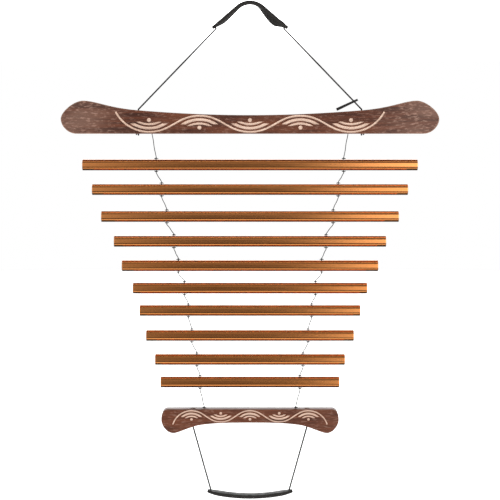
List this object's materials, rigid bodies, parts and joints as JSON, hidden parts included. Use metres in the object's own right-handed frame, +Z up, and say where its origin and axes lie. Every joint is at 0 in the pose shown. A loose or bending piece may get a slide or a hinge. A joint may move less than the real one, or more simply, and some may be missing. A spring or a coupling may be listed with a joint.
{
  "type": "hand-held tube chime",
  "caption": "Tuned metal tubes hung like ladder rungs on two knotted cords between a long and a short wooden bar, with a hand strap at each end.",
  "frame": {"origin": "The hang point: the underside of the upper hand strap at its peak, where a hand or a hook carries the chime.", "axes": "+Z is up, and the chime hangs along -Z. +X runs along the tubes to the right as seen from the decorated front. +Y points from the decorated front to the back."},
  "size_m": [0.551, 0.02, 0.73],
  "materials": {
    "wood": "dark red-brown stained hardwood, fine grain, oiled matt, carved pale pattern",
    "tube": "copper-gold anodised aluminium tube, satin gloss",
    "handle_cord": "black braided cord",
    "ladder_cord": "black twisted nylon twine",
    "strap": "matt black leather strap",
    "tag": "matt black, blank"
  },
  "bodies": {
    "upper_strap": {"upper_strap": "strap", "upper_strap_knot_left": "handle_cord", "upper_strap_knot_right": "handle_cord"},
    "upper_cords": {"upper_cord_left": "handle_cord", "upper_cord_right": "handle_cord"},
    "cord_tag": {"cord_tag": "tag"},
    "upper_bar": {"upper_bar": "wood", "upper_bar_knot_left": "handle_cord", "upper_bar_knot_right": "handle_cord", "ladder_top_left": "ladder_cord", "ladder_top_right": "ladder_cord"},
    "rung_01": {"tube_01": "tube", "ladder_01_left": "ladder_cord", "ladder_01_right": "ladder_cord"},
    "rung_02": {"tube_02": "tube", "ladder_02_left": "ladder_cord", "ladder_02_right": "ladder_cord"},
    "rung_03": {"tube_03": "tube", "ladder_03_left": "ladder_cord", "ladder_03_right": "ladder_cord"},
    "rung_04": {"tube_04": "tube", "ladder_04_left": "ladder_cord", "ladder_04_right": "ladder_cord"},
    "rung_05": {"tube_05": "tube", "ladder_05_left": "ladder_cord", "ladder_05_right": "ladder_cord"},
    "rung_06": {"tube_06": "tube", "ladder_06_left": "ladder_cord", "ladder_06_right": "ladder_cord"},
    "rung_07": {"tube_07": "tube", "ladder_07_left": "ladder_cord", "ladder_07_right": "ladder_cord"},
    "rung_08": {"tube_08": "tube", "ladder_08_left": "ladder_cord", "ladder_08_right": "ladder_cord"},
    "rung_09": {"tube_09": "tube", "ladder_09_left": "ladder_cord", "ladder_09_right": "ladder_cord"},
    "rung_10": {"tube_10": "tube", "ladder_10_left": "ladder_cord", "ladder_10_right": "ladder_cord"},
    "lower_bar": {"lower_bar": "wood", "lower_bar_knot_left": "handle_cord", "lower_bar_knot_right": "handle_cord", "ladder_11_left": "ladder_cord", "ladder_11_right": "ladder_cord"},
    "lower_cords": {"lower_cord_left": "handle_cord", "lower_cord_right": "handle_cord"},
    "lower_strap": {"lower_strap": "strap", "lower_strap_knot_left": "handle_cord", "lower_strap_knot_right": "handle_cord"}
  },
  "joints": [
    {"name": "upper_cords_swing", "type": "hinge", "parent": "upper_strap", "child": "upper_cords", "pos_m": [0, 0, -0.03746], "axis": [1, 0, 0], "range_deg": [-45, 45]},
    {"name": "tag_slide", "type": "slide", "parent": "upper_cords", "child": "cord_tag", "axis": [-0.6955, 0, 0.7185], "range_m": [0, 0.11]},
    {"name": "upper_bar_swing", "type": "hinge", "parent": "upper_cords", "child": "upper_bar", "pos_m": [0, 0, -0.15493], "axis": [1, 0, 0], "range_deg": [-20, 20]},
    {"name": "rung_01_swing", "type": "hinge", "parent": "upper_bar", "child": "rung_01", "pos_m": [0, 0, -0.1914], "axis": [1, 0, 0], "range_deg": [-20, 20]},
    {"name": "rung_02_swing", "type": "hinge", "parent": "rung_01", "child": "rung_02", "pos_m": [0, 0, -0.24784], "axis": [1, 0, 0], "range_deg": [-20, 20]},
    {"name": "rung_03_swing", "type": "hinge", "parent": "rung_02", "child": "rung_03", "pos_m": [0, 0, -0.28384], "axis": [1, 0, 0], "range_deg": [-20, 20]},
    {"name": "rung_04_swing", "type": "hinge", "parent": "rung_03", "child": "rung_04", "pos_m": [0, 0, -0.32334], "axis": [1, 0, 0], "range_deg": [-20, 20]},
    {"name": "rung_05_swing", "type": "hinge", "parent": "rung_04", "child": "rung_05", "pos_m": [0, 0, -0.35984], "axis": [1, 0, 0], "range_deg": [-20, 20]},
    {"name": "rung_06_swing", "type": "hinge", "parent": "rung_05", "child": "rung_06", "pos_m": [0, 0, -0.39584], "axis": [1, 0, 0], "range_deg": [-20, 20]},
    {"name": "rung_07_swing", "type": "hinge", "parent": "rung_06", "child": "rung_07", "pos_m": [0, 0, -0.42884], "axis": [1, 0, 0], "range_deg": [-20, 20]},
    {"name": "rung_08_swing", "type": "hinge", "parent": "rung_07", "child": "rung_08", "pos_m": [0, 0, -0.46184], "axis": [1, 0, 0], "range_deg": [-20, 20]},
    {"name": "rung_09_swing", "type": "hinge", "parent": "rung_08", "child": "rung_09", "pos_m": [0, 0, -0.49884], "axis": [1, 0, 0], "range_deg": [-20, 20]},
    {"name": "rung_10_swing", "type": "hinge", "parent": "rung_09", "child": "rung_10", "pos_m": [0, 0, -0.53434], "axis": [1, 0, 0], "range_deg": [-20, 20]},
    {"name": "lower_bar_swing", "type": "hinge", "parent": "rung_10", "child": "lower_bar", "pos_m": [0, 0, -0.56784], "axis": [1, 0, 0], "range_deg": [-20, 20]},
    {"name": "lower_cords_swing", "type": "hinge", "parent": "lower_bar", "child": "lower_cords", "pos_m": [0, 0, -0.62265], "axis": [1, 0, 0], "range_deg": [-30, 30]},
    {"name": "lower_strap_swing", "type": "hinge", "parent": "lower_cords", "child": "lower_strap", "pos_m": [0, 0, -0.71587], "axis": [1, 0, 0], "range_deg": [-45, 45]}
  ]
}
